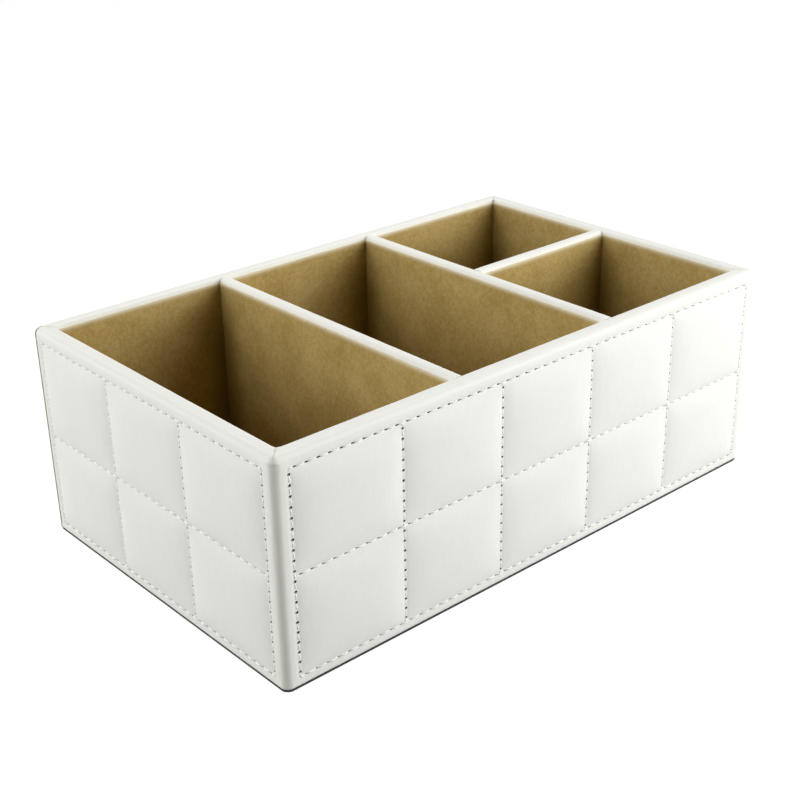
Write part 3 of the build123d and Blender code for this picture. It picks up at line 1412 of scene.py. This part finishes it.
    def build(self) -> None:
        """Builds the strip and puts it in the part."""
        columns, skin, back = self.columns(), self.skin_profile(), self.back_profile()
        heights = self.swell(columns, skin)
        for number, column in enumerate(columns):
            heights[:, number] = self.trim(column, skin, heights[:, number])
        skin_points = self.points(columns, skin, heights)
        back_points = self.points(columns, back, self.swell(columns, back))
        draft = MeshDraft()
        numbers = draft.add(np.concatenate((skin_points, back_points)))
        looped = np.concatenate((numbers, numbers[:1]))
        skip = np.zeros((len(looped) - 1, len(columns) - 1), bool)
        quads = self.pierced(columns, int(skin.face[0]))
        for row, column, _ in quads:
            skip[row, column] = True
        draft.grid(looped, Look.SKIN, skip)
        for row, column, share in quads:
            spots = ((row, column), (row, column + 1), (row + 1, column + 1), (row + 1, column))
            corners = np.array([numbers[spot] for spot in spots])
            outline = np.array([skin_points[spot] for spot in spots])
            self.pierce(draft, corners, outline, -columns[column].wall.outward, share)
        for end in (0, -1):
            draft.face(numbers[:, end], Look.CUT)
        traits = {}
        for title, values in self.traits(columns, skin).items():
            traits[title] = np.zeros(draft.count)
            traits[title][: values.size] = values.ravel()
        looks = [self.finish.material(), HOLE_SHADE.material(), CUT_EDGE.material()]
        wrap = draft.piece("quilted_leather_wrap", looks, traits)
        settle(wrap, Slot.LEATHER, "leather_wrap")


@dataclass(frozen=True)
class SeamLine:
    """One line of stitches on a wall: a level one at a height, or an upright one at a place along it."""

    wall: Wall
    is_level: bool
    offset: float


@dataclass
class QuiltStitching:
    """The quilting thread: one twisted stitch from each needle hole to the next."""

    plan: BoxPlan
    layout: QuiltLayout
    relief: PillowRelief
    radius: float = 0.00037
    level_lie: float = 0.00022
    upright_lie: float = 0.00004
    dive: float = 0.0005
    level_reach: float = 0.00012
    upright_reach: float = 0.0
    slant: float = 0.00005
    end_share: float = 0.65
    ring_power: float = 0.8
    arch_power: float = 0.45
    taper_power: float = 0.5
    sides: int = 8
    rings: int = 11
    ply_swell: float = 0.17
    twist_turns: float = 1.6

    def rows(self, seams: Array, hole: float, reach: float) -> tuple[Array, Array]:
        """Places where the stitches along a seam start and end, with a short one at each end.

        Args:
            seams: Seams that cross it.
            hole: Length of its needle holes.
            reach: How far the stitches reach into the holes.

        Returns:
            Where each stitch starts and where it ends, a little inside the holes.
        """
        ends = np.concatenate((seams[:1], self.layout.holes(seams), seams[-1:]))
        inset = hole / 2 - reach
        starts, stops = ends[:-1] + inset, ends[1:] - inset
        starts[0], stops[-1] = ends[0], ends[-1]
        return starts, stops

    def surface(self, seam: SeamLine, places: Array) -> Array:
        """Heights of the leatherette along a seam.

        Args:
            seam: The seam.
            places: Places along it.

        Returns:
            One height for each place.
        """
        offset = np.array([seam.offset])
        if seam.is_level:
            return self.relief.panel(seam.wall, places, offset)[0]
        return self.relief.panel(seam.wall, offset, places)[:, 0]

    def sew(self, draft: MeshDraft, seam: SeamLine) -> None:
        """Adds the stitches of one seam.

        Args:
            draft: The wall's thread so far.
            seam: The seam.
        """
        wall, layout = seam.wall, self.layout
        if seam.is_level:
            along, aside, lie = wall.travel, UP, self.level_lie
            starts, ends = self.rows(layout.uprights(wall), layout.level_hole, self.level_reach)
        else:
            along, aside, lie = UP, wall.travel, self.upright_lie
            starts, ends = self.rows(layout.levels(), layout.upright_hole, self.upright_reach)
        phase = np.linspace(0.0, 1.0, self.rings)
        swing = np.cos(np.pi * phase)
        share = 0.5 - 0.5 * np.sign(swing) * np.abs(swing) ** self.ring_power
        place = starts[:, None] + (ends - starts)[:, None] * share[None, :]
        surface = self.surface(seam, place.ravel()).reshape(place.shape)
        level = surface - self.dive + (self.dive + lie) * np.sin(np.pi * phase) ** self.arch_power
        across = np.cross(wall.outward, along)
        lean = self.slant * (2 * share - 1)
        origin = wall.outward * self.plan.reach(wall) + seam.offset * aside
        centre = origin + place[..., None] * along + level[..., None] * wall.outward
        centre = centre + lean[None, :, None] * across
        tangent = np.gradient(centre, axis=1)
        tangent /= np.linalg.norm(tangent, axis=-1, keepdims=True)
        top = np.cross(tangent, np.broadcast_to(across, tangent.shape))
        angles = np.arange(self.sides) * 2 * np.pi / self.sides
        twist = 2 * np.pi * self.twist_turns * phase
        ply = 1.0 + self.ply_swell * np.cos(2 * (angles[None, :] - twist[:, None]))
        side_part = (np.cos(angles) * ply)[None, :, :, None] * across
        top_part = (np.sin(angles) * ply)[None, :, :, None] * top[:, :, None, :]
        taper = np.sin(np.pi * phase) ** self.taper_power
        thick = self.radius * (self.end_share + (1 - self.end_share) * taper)
        for rings in centre[:, :, None, :] + thick[None, :, None, None] * (side_part + top_part):
            draft.loft(rings)

    def build(self) -> None:
        """Builds the thread of each wall and puts it in the part."""
        material = THREAD.material()
        for wall in Wall:
            draft = MeshDraft()
            for level in self.layout.levels():
                self.sew(draft, SeamLine(wall, True, level))
            for upright in self.layout.uprights(wall):
                self.sew(draft, SeamLine(wall, False, upright))
            settle(draft.piece(f"{wall.title}_stitches", [material]), Slot.THREAD, f"{wall.title}_thread")


@dataclass
class FoamPads:
    """The thin foam behind the leatherette of each wall."""

    plan: BoxPlan
    relief: PillowRelief
    spacing: float = 0.0026
    gap: float = 0.00005
    side_gap: float = 0.0032
    rim_gap: float = 0.0032
    foot_gap: float = 0.0009
    fill: float = 0.6

    def build(self) -> None:
        """Builds the pads and puts them in the part."""
        material = FOAM.material()
        for wall in Wall:
            end = self.plan.half(wall) - self.side_gap
            places = stations(-end, end, self.spacing)
            levels = stations(self.plan.wall_foot + self.foot_gap, self.plan.rim - self.rim_gap, self.spacing)
            spots = places[None, :, None] * wall.travel + levels[:, None, None] * UP
            board_face = self.plan.reach(wall) - self.plan.border_depth
            border = self.plan.reach(wall) - self.plan.leather - self.gap
            out = border + self.relief.panel(wall, places, levels)
            draft = MeshDraft()
            draft.slab(spots + out[..., None] * wall.outward, spots + board_face * wall.outward)
            pad = draft.piece(f"{wall.title}_foam_pad", [material])
            settle(pad, Slot.FOAM, f"{wall.title}_foam")


DIVIDER_FACINGS = {
    "left_divider": np.array((1.0, 0.0, 0.0)),
    "right_divider": np.array((1.0, 0.0, 0.0)),
    "bay_divider": np.array((0.0, 1.0, 0.0)),
}


@dataclass(frozen=True)
class LinedFace:
    """Where one velvet-covered card stands: its back and velvet planes, its length and its height."""

    facing: Array
    back: float
    velvet: float
    start: float
    end: float
    foot: float
    top: float
    lap: float
    lap_foot: float


@dataclass
class VelvetLining:
    """Velvet on card, on the walls and on both faces of each divider."""

    plan: BoxPlan
    finish: VelvetFinish
    cap_depth: float = 0.009
    edge_radius: float = 0.00034
    back_edge_points: int = 4
    front_edge_points: int = 5
    spacing: float = 0.003
    ripple: Unevenness = Unevenness(0.00009, 0.03, 5.3)
    # Width of the painted highlight along the top fold
    fold_highlight_width: float = 0.0011
    fold_steps: tuple[float, ...] = (0.0004, 0.0008, 0.0012, 0.002)
    touch: float = 0.001
    # Painted shade in the corners: how wide it spreads, and how far below the top it grows to full
    nook_shade_width: float = 0.009
    nook_shade_reach: float = 0.03
    nook_lines: tuple[float, ...] = (-0.009, -0.006, -0.003, -0.001, 0.0, 0.001, 0.003, 0.006, 0.009)

    def section(self, card: LinedFace) -> Array:
        """Outline of a card across its length.

        Args:
            card: Where the card stands.

        Returns:
            Distance along the card's facing, and level, of each point.
        """
        lean = 1.0 if card.velvet > card.back else -1.0
        thick = abs(card.velvet - card.back)
        radius = self.edge_radius
        edge = card.top - radius
        back_angles = np.linspace(2 * QUARTER_TURN, QUARTER_TURN, self.back_edge_points)
        front_angles = np.linspace(QUARTER_TURN, 0.0, self.front_edge_points)
        outline = [(0.0, card.foot), (0.0, card.lap_foot), (card.lap, card.lap_foot)]
        outline += arc(card.lap + radius, edge, radius, back_angles)
        outline += arc(thick - radius, edge, radius, front_angles)
        outline += [(thick, edge - step) for step in self.fold_steps]
        levels = stations(card.foot, edge - self.fold_steps[-1], self.spacing)
        outline += [(thick, level) for level in levels[-2::-1]]
        section = np.array(outline)
        section[:, 0] = card.back + lean * section[:, 0]
        return section

    def corners(self, card: LinedFace) -> Array:
        """Finds where a card ends or another card meets it.

        Args:
            card: Where the card stands.

        Returns:
            Places along the card.
        """
        along = np.cross(UP, card.facing)
        places = [card.start, card.end]
        for name, facing in DIVIDER_FACINGS.items():
            box = [np.array(corner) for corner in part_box(f"{name}_lining")]
            gap = min(abs(card.facing @ corner - card.velvet) for corner in box)
            if gap < self.touch and facing @ card.facing == 0:
                places += [float(along @ corner) for corner in box]
        return np.array(places)

    def cover(self, draft: MeshDraft, card: LinedFace) -> Array:
        """Adds one card to a piece.

        Args:
            draft: The piece so far.
            card: Where the card stands.

        Returns:
            How deep in a corner each of its points lies, from 0 to 1, which sets its painted shade.
        """
        section = self.section(card)
        along = np.cross(UP, card.facing)
        corners = self.corners(card)
        close = (corners[:, None] + np.array(self.nook_lines)).ravel()
        close = close[(close > card.start) & (close < card.end)]
        run = np.unique(np.concatenate((stations(card.start, card.end, self.spacing), close)))
        spots = run[:, None, None] * along + section[None, :, 1, None] * UP
        velvet = np.abs(section[:, 0] - card.velvet) < MERGE_DISTANCE
        soft = self.ripple.at(spots + card.velvet * card.facing) * velvet
        draft.loft(spots + (section[None, :, 0] + soft)[..., None] * card.facing)
        # Painted shade, strongest in the corners and growing from the top down
        depth = dent(np.abs(run[:, None] - corners[None, :]).min(axis=1), self.nook_shade_width)
        return np.outer(depth, smooth_step((card.top - section[:, 1]) / self.nook_shade_reach)).ravel()

    def wall_card(self, wall: Wall) -> LinedFace:
        """Works out where the card of a wall stands.

        Args:
            wall: The wall.

        Returns:
            Its planes and ends.
        """
        facing = -wall.outward
        low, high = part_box(f"{wall.title}_lining")
        start, end = extent(np.cross(UP, facing), (low, high))
        inset = self.plan.leather if wall.is_long else 0.0
        return LinedFace(
            facing=facing,
            back=-float(abs(wall.outward) @ self.plan.carcass_half),
            velvet=-float(abs(wall.outward) @ self.plan.lined_half),
            start=start + inset,
            end=end - inset,
            foot=low.z,
            top=high.z,
            lap=self.plan.leather,
            lap_foot=self.plan.turned_foot,
        )

    def divider_card(self, name: str, facing: Array) -> LinedFace:
        """Works out where the card on one face of a divider stands.

        Args:
            name: Name of the divider.
            facing: Direction that the velvet faces.

        Returns:
            Its planes and ends.
        """
        low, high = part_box(f"{name}_lining")
        start, end = extent(np.cross(UP, facing), (low, high))
        return LinedFace(
            facing=facing,
            back=extent(facing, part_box(f"{name}_board"))[1],
            velvet=extent(facing, (low, high))[1],
            start=start,
            end=end,
            foot=low.z,
            top=high.z,
            lap=self.plan.cap_leather,
            lap_foot=self.plan.rim - self.cap_depth,
        )

    def line(self, title: str, cards: list[LinedFace], material: bpy.types.Material) -> None:
        """Makes a lining of its cards, with painted highlight along its top fold and painted shade in its
        corners, and puts it in the part.

        Args:
            title: Name of its wall or divider.
            cards: Where its cards stand.
            material: The velvet.
        """
        draft = MeshDraft()
        nook_shade = np.concatenate([self.cover(draft, card) for card in cards])
        # Painted highlight along the top fold
        fold = dent(cards[0].top - np.concatenate(draft.points)[:, 2], self.fold_highlight_width)
        piece = draft.piece(f"{title}_velvet", [material], {"fold": fold, "nook_shade": nook_shade})
        settle(piece, Slot.VELVET, f"{title}_lining")

    def build(self) -> None:
        """Builds the linings and puts them in the part."""
        material = self.finish.material()
        for wall in Wall:
            self.line(wall.title, [self.wall_card(wall)], material)
        for name, facing in DIVIDER_FACINGS.items():
            self.line(name, [self.divider_card(name, side) for side in (facing, -facing)], material)


@dataclass
class DividerCaps:
    """Leatherette strips folded over the tops of the dividers."""

    plan: BoxPlan
    finish: LeatherFinish
    edge_radius: float = 0.0016
    side_rows: int = 4
    edge_steps: int = 6
    reach_out: float = 0.0006
    spacing: float = 0.0025
    uneven: Unevenness = Unevenness(0.00007, 0.014, 2.9)
    # Share of the paler tone for wear and painted highlight, over the whole cap
    rub_and_highlight: float = 0.8

    def section(self, half: float, foot: float, top: float) -> Array:
        """Outline of a folded strip across its length.

        Args:
            half: Half of its width.
            foot: Height of its lower edges.
            top: Height of its fold.

        Returns:
            Distance from the divider's middle, and level, of each point.
        """
        radius = self.edge_radius
        middle, edge = half - radius, top - radius
        sides = np.linspace(foot, edge, self.side_rows)
        angles = np.linspace(0.0, QUARTER_TURN, self.edge_steps + 1)[1:-1]
        outline = [(-half, level) for level in sides]
        outline += arc(-middle, edge, radius, 2 * QUARTER_TURN - angles)
        outline.append((0.0, top))
        outline += arc(middle, edge, radius, angles[::-1])
        outline += [(half, level) for level in sides[::-1]]
        inner, ceiling = half - self.plan.cap_leather, top - self.plan.cap_leather
        outline += [(inner, foot), (inner, ceiling), (-inner, ceiling), (-inner, foot)]
        return np.array(outline)

    def build(self) -> None:
        """Builds the caps and puts them in the part."""
        material = self.finish.material()
        for name, facing in DIVIDER_FACINGS.items():
            low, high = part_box(f"{name}_cap")
            along = np.cross(UP, facing)
            left, right = extent(facing, (low, high))
            section = self.section((right - left) / 2, low.z, high.z)
            run = stations(*extent(along, (low, high)), self.spacing)
            ends = np.zeros_like(run)
            ends[0], ends[-1] = -1.0, 1.0
            over = section[:, 1] > self.plan.lining_top
            place = run[:, None] + self.reach_out * ends[:, None] * over[None, :]
            spots = place[..., None] * along + ((left + right) / 2 + section[:, 0])[None, :, None] * facing
            spots = spots + section[None, :, 1, None] * UP
            spots[..., 2] += self.uneven.at(spots) * over
            draft = MeshDraft()
            draft.loft(spots)
            cap = draft.piece(f"{name}_folded_cap", [material], {"rub_and_highlight": np.full(draft.count, self.rub_and_highlight)})
            settle(cap, Slot.LEATHER, f"{name}_cap")


@dataclass
class FloorPads:
    """Velvet pads on the floor of each compartment."""

    finish: VelvetFinish
    names: tuple[str, ...] = ("left_bay_floor", "middle_bay_floor", "front_nook_floor", "back_nook_floor")
    spacing: float = 0.003
    edge_lines: tuple[float, ...] = (0.0, 0.0003, 0.0007, 0.0013)
    edge_drop: float = 0.0006
    edge_width: float = 0.0007
    uneven: Unevenness = Unevenness(0.00015, 0.03, 6.6)
    calm_width: float = 0.01

    def lines(self, low: float, high: float) -> Array:
        """Places the mesh lines along one side, closer at the edges.

        Args:
            low: First line.
            high: Last line.

        Returns:
            Places of the lines, in order.
        """
        edge = np.array(self.edge_lines)
        inset = 2 * self.edge_lines[-1]
        inner = stations(low + inset, high - inset, self.spacing)
        return np.concatenate((low + edge, inner, (high - edge)[::-1]))

    def build(self) -> None:
        """Builds the pads and puts them in the part."""
        material = self.finish.material()
        for name in self.names:
            low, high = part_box(name)
            x, y = self.lines(low.x, high.x), self.lines(low.y, high.y)
            edge_x = np.minimum(x - low.x, high.x - x)
            edge_y = np.minimum(y - low.y, high.y - y)
            edge = np.minimum(edge_y[:, None], edge_x[None, :])
            spots = np.zeros((len(y), len(x), 3))
            spots[..., 0], spots[..., 1] = np.meshgrid(x, y)
            bottom = spots + low.z * UP
            soft = self.uneven.at(spots) * (1.0 - dent(edge, self.calm_width))
            spots[..., 2] = high.z + soft - self.edge_drop * dent(edge, self.edge_width)
            draft = MeshDraft()
            draft.slab(spots, bottom)
            settle(draft.piece(f"{name}_velvet", [material]), Slot.VELVET, name)


@dataclass
class BaseSheet:
    """The dark sheet glued under the box."""

    corner_radius: float = 0.003
    corner_steps: int = 8
    edge_radius: float = 0.00015
    edge_steps: int = 4
    edge_spread: float = 0.0003

    def outline(self, half_x: float, half_y: float) -> Array:
        """Rounded rectangle round the middle of the box.

        Args:
            half_x: Half of its length.
            half_y: Half of its width.

        Returns:
            Points at level 0, in order.
        """
        radius = self.corner_radius
        points = []
        turn = np.linspace(0.0, QUARTER_TURN, self.corner_steps)
        for quarter, (side_x, side_y) in enumerate(((1, 1), (-1, 1), (-1, -1), (1, -1))):
            x, y = side_x * (half_x - radius), side_y * (half_y - radius)
            points += [(*spot, 0.0) for spot in arc(x, y, radius, turn + quarter * QUARTER_TURN)]
        return np.array(points)

    def build(self) -> None:
        """Builds the sheet and puts it in the part."""
        low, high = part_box("base_cover")
        radius = self.edge_radius
        rings = []
        for angle in np.linspace(0.0, QUARTER_TURN, self.edge_steps):
            inset = radius * (1 - math.sin(angle)) - self.edge_spread
            level = low.z + radius * (1 - math.cos(angle))
            rings.append(self.outline(high.x - inset, high.y - inset) + level * UP)
        rings += [ring * (1, 1, 0) + (high.z - (ring - low.z * UP)[0, 2]) * UP for ring in rings[::-1]]
        draft = MeshDraft()
        draft.loft(np.array(rings))
        sheet = draft.piece("base_sheet", [SHEET.material()])
        settle(sheet, Slot.SHEET, "base_cover")


@dataclass
class Carcass:
    """The hidden boards, which stay as the CAD has them."""

    boards: tuple[str, ...] = (
        "base_board",
        "front_board",
        "back_board",
        "left_end_board",
        "right_end_board",
        "left_divider_board",
        "right_divider_board",
        "bay_divider_board",
    )

    def dress(self) -> None:
        """Gives the boards their material."""
        material = BOARD.material()
        for name in self.boards:
            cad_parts[name].material_slots[0].material = material
            LOG.info("%s: dressed", name)


@dataclass(frozen=True)
class Softbox:
    """One rectangular studio lamp."""

    name: str
    place: Triple
    aim: Triple
    width: float
    height: float
    power: float

    def hang(self) -> None:
        """Adds the lamp to the scene."""
        lamp = bpy.data.lights.new(self.name, "AREA")
        lamp.shape = "RECTANGLE"
        lamp.size, lamp.size_y = self.width, self.height
        lamp.energy = self.power
        made = bpy.data.objects.new(self.name, lamp)
        made.location = self.place
        made.rotation_euler = (Vector(self.aim) - Vector(self.place)).to_track_quat("-Z", "Y").to_euler()
        bpy.context.scene.collection.objects.link(made)


@dataclass(frozen=True)
class TentPanel:
    """One soft bright panel of the light tent."""

    towards: Triple
    edge: Range
    glow: float


@dataclass
class Studio:
    """White floor, a light tent that is open on the camera's side, four soft lamps and the camera."""

    eye: Triple = (-0.3586, -0.4058, 0.2968)
    aim: Triple = (0.0036, 0.0104, 0.0400)
    roll: float = -0.0200
    lens: float = 62.6
    floor_half: float = 3.0
    floor_drop: float = 0.0001
    floor_colour: Colour = (0.36, 0.36, 0.36)
    floor_roughness: float = 0.9
    floor_glow: float = 0.83
    seen_by: tuple[str, ...] = ("Is Camera Ray", "Is Glossy Ray", "Is Transmission Ray")
    panels: tuple[TentPanel, ...] = (
        TentPanel((0.50, 0.50, 0.70), (0.70, 0.97), 1.12),
        TentPanel((-0.60, 0.40, 0.70), (0.70, 0.97), 0.65),
    )
    lamps: tuple[Softbox, ...] = (
        Softbox("right_softbox", (0.55, -0.75, 0.35), (0.05, -0.05, 0.05), 0.9, 0.55, 10.8),
        Softbox("left_softbox", (-1.20, 0.90, 0.30), (-0.08, 0.0, 0.05), 0.9, 0.55, 8.1),
        Softbox("high_softbox", (-1.30, 0.20, 0.70), (-0.08, 0.0, 0.05), 0.9, 0.55, 6.5),
        Softbox("rim_softbox", (0.02, 0.26, 0.36), (0.0, 0.08, 0.09), 0.4, 0.1, 0.28),
    )

    def seen(self, graph: NodeGraph) -> Socket:
        """Gives 1 for the rays that have to find the surroundings white, and 0 for the others."""
        rays = graph.node("ShaderNodeLightPath")
        return reduce(graph.sum, [rays.outputs[title] for title in self.seen_by])

    def floor(self) -> None:
        """Lays the floor, which is white to the camera and keeps the box's shadow."""
        draft = MeshDraft()
        half = self.floor_half
        corners = np.array(((-half, -half), (half, -half), (half, half), (-half, half)))
        draft.face(draft.add(np.column_stack((corners, np.full(4, -self.floor_drop)))))
        graph = ShaderGraph("studio_floor")
        graph.set("Base Color", (*self.floor_colour, 1.0))
        graph.set("Roughness", self.floor_roughness)
        graph.set("Specular IOR Level", 0.0)
        graph.set("Emission Color", WHITE)
        graph.set("Emission Strength", graph.span(self.seen(graph), UNIT, (0.0, self.floor_glow)))
        floor = draft.piece("studio_floor", [graph.material])

    def surroundings(self) -> None:
        """Makes the light tent and keeps it white to the camera and in reflections."""
        world = bpy.data.worlds.new("light_tent")
        graph = NodeGraph(world)
        direction = graph.node("ShaderNodeTexCoord").outputs["Generated"]
        glows = []
        for panel in self.panels:
            facing = graph.node("ShaderNodeVectorMath", operation="DOT_PRODUCT")
            graph.feed(facing.inputs[0], direction)
            graph.feed(facing.inputs[1], Vector(panel.towards).normalized())
            glows.append(graph.span(facing.outputs["Value"], panel.edge, (0.0, panel.glow), Easing.SOFT))
        strength = graph.blend(self.seen(graph), reduce(graph.sum, glows), 1.0, Mixed.VALUES)
        background = graph.tree.nodes["Background"]
        graph.feed(background.inputs["Color"], WHITE)
        graph.feed(background.inputs["Strength"], strength)
        bpy.context.scene.world = world

    def camera(self) -> None:
        """Sets up the camera where the photograph was taken from."""
        data = bpy.data.cameras.new("camera")
        data.lens = self.lens
        made = bpy.data.objects.new("camera", data)
        made.location = self.eye
        made.rotation_mode = "QUATERNION"
        turn = (Vector(self.aim) - Vector(self.eye)).to_track_quat("-Z", "Y")
        made.rotation_quaternion = turn @ Quaternion((0.0, 0.0, 1.0), self.roll)
        bpy.context.scene.collection.objects.link(made)
        bpy.context.scene.camera = made

    def build(self) -> None:
        """Sets up everything round the box."""
        bpy.context.scene.view_settings.view_transform = "Standard"
        self.floor()
        self.surroundings()
        for lamp in self.lamps:
            lamp.hang()
        self.camera()


def main() -> None:
    """Builds the box and its studio."""
    logging.basicConfig(level=logging.INFO, format="%(name)s: %(message)s")
    plan = BoxPlan.from_frame()
    layout = QuiltLayout(plan)
    relief = PillowRelief(plan, layout)
    leather, velvet = LeatherFinish(), VelvetFinish()
    LeatherWrap(plan, layout, relief, leather).build()
    QuiltStitching(plan, layout, relief).build()
    FoamPads(plan, relief).build()
    VelvetLining(plan, velvet).build()
    DividerCaps(plan, leather).build()
    FloorPads(velvet).build()
    BaseSheet().build()
    Carcass().dress()
    Studio().build()


if __name__ == "__main__":
    main()
